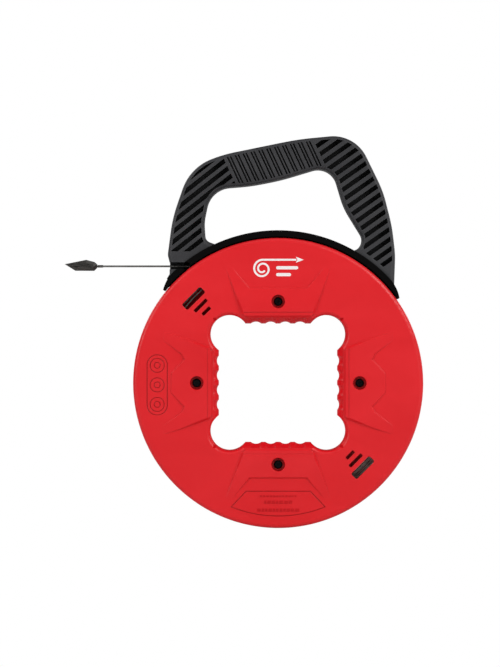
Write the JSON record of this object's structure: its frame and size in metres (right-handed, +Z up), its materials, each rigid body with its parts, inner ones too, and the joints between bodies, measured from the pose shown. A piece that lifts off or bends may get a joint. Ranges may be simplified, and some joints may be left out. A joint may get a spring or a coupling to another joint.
{
  "type": "fish tape reel",
  "caption": "Hand-held fish tape reel: a round red case that turns under a dark handle and holds wound flat steel tape, whose spear point comes out at the handle's nose.",
  "frame": {"origin": "middle of the opening through the case, on the axis that the case turns about, at half its thickness", "axes": "+Z up from the case to the grip, +Y from the front to the back, +X to the right seen from the front; the tape comes out towards -X"},
  "size_m": [0.3781, 0.05, 0.4123],
  "materials": {
    "case_plastic": "satin red, fine moulded texture",
    "handle_plastic": "dark grey, fine texture",
    "shoe_plastic": "black, smooth running faces",
    "tape_steel": "tempered spring steel, grey",
    "tip_steel": "dark hardened steel",
    "guide_steel": "dark steel",
    "black_screw": "black oxide",
    "zinc_steel": "zinc plated"
  },
  "bodies": {
    "handle": {"handle_body": "handle_plastic", "rim_shoe": "shoe_plastic", "shoe_screw_lower_right": "black_screw", "shoe_screw_upper_right": "black_screw", "shoe_screw_front_left": "black_screw", "shoe_screw_rear_left": "black_screw", "tape_guide": "guide_steel"},
    "case": {"case_front_shell": "case_plastic", "case_rear_shell": "case_plastic", "case_screw_right": "black_screw", "case_screw_top": "black_screw", "case_screw_left": "black_screw", "case_screw_bottom": "black_screw", "case_nut_right": "zinc_steel", "case_nut_top": "zinc_steel", "case_nut_left": "zinc_steel", "case_nut_bottom": "zinc_steel", "tape_coil": "tape_steel", "tape_anchor_clip": "zinc_steel", "tape_anchor_screw": "zinc_steel"},
    "tape_end": {"tape_leader": "tape_steel", "tip_ferrule": "tip_steel", "leader_tip": "tip_steel"}
  },
  "joints": [
    {"name": "case_spin", "type": "hinge", "parent": "handle", "child": "case", "pos_m": [0, 0, 0], "axis": [0, 1, 0], "continuous": true},
    {"name": "tape_feed", "type": "slide", "parent": "handle", "child": "tape_end", "axis": [-1, 0, 0], "range_m": [-0.07, 0.075]}
  ]
}
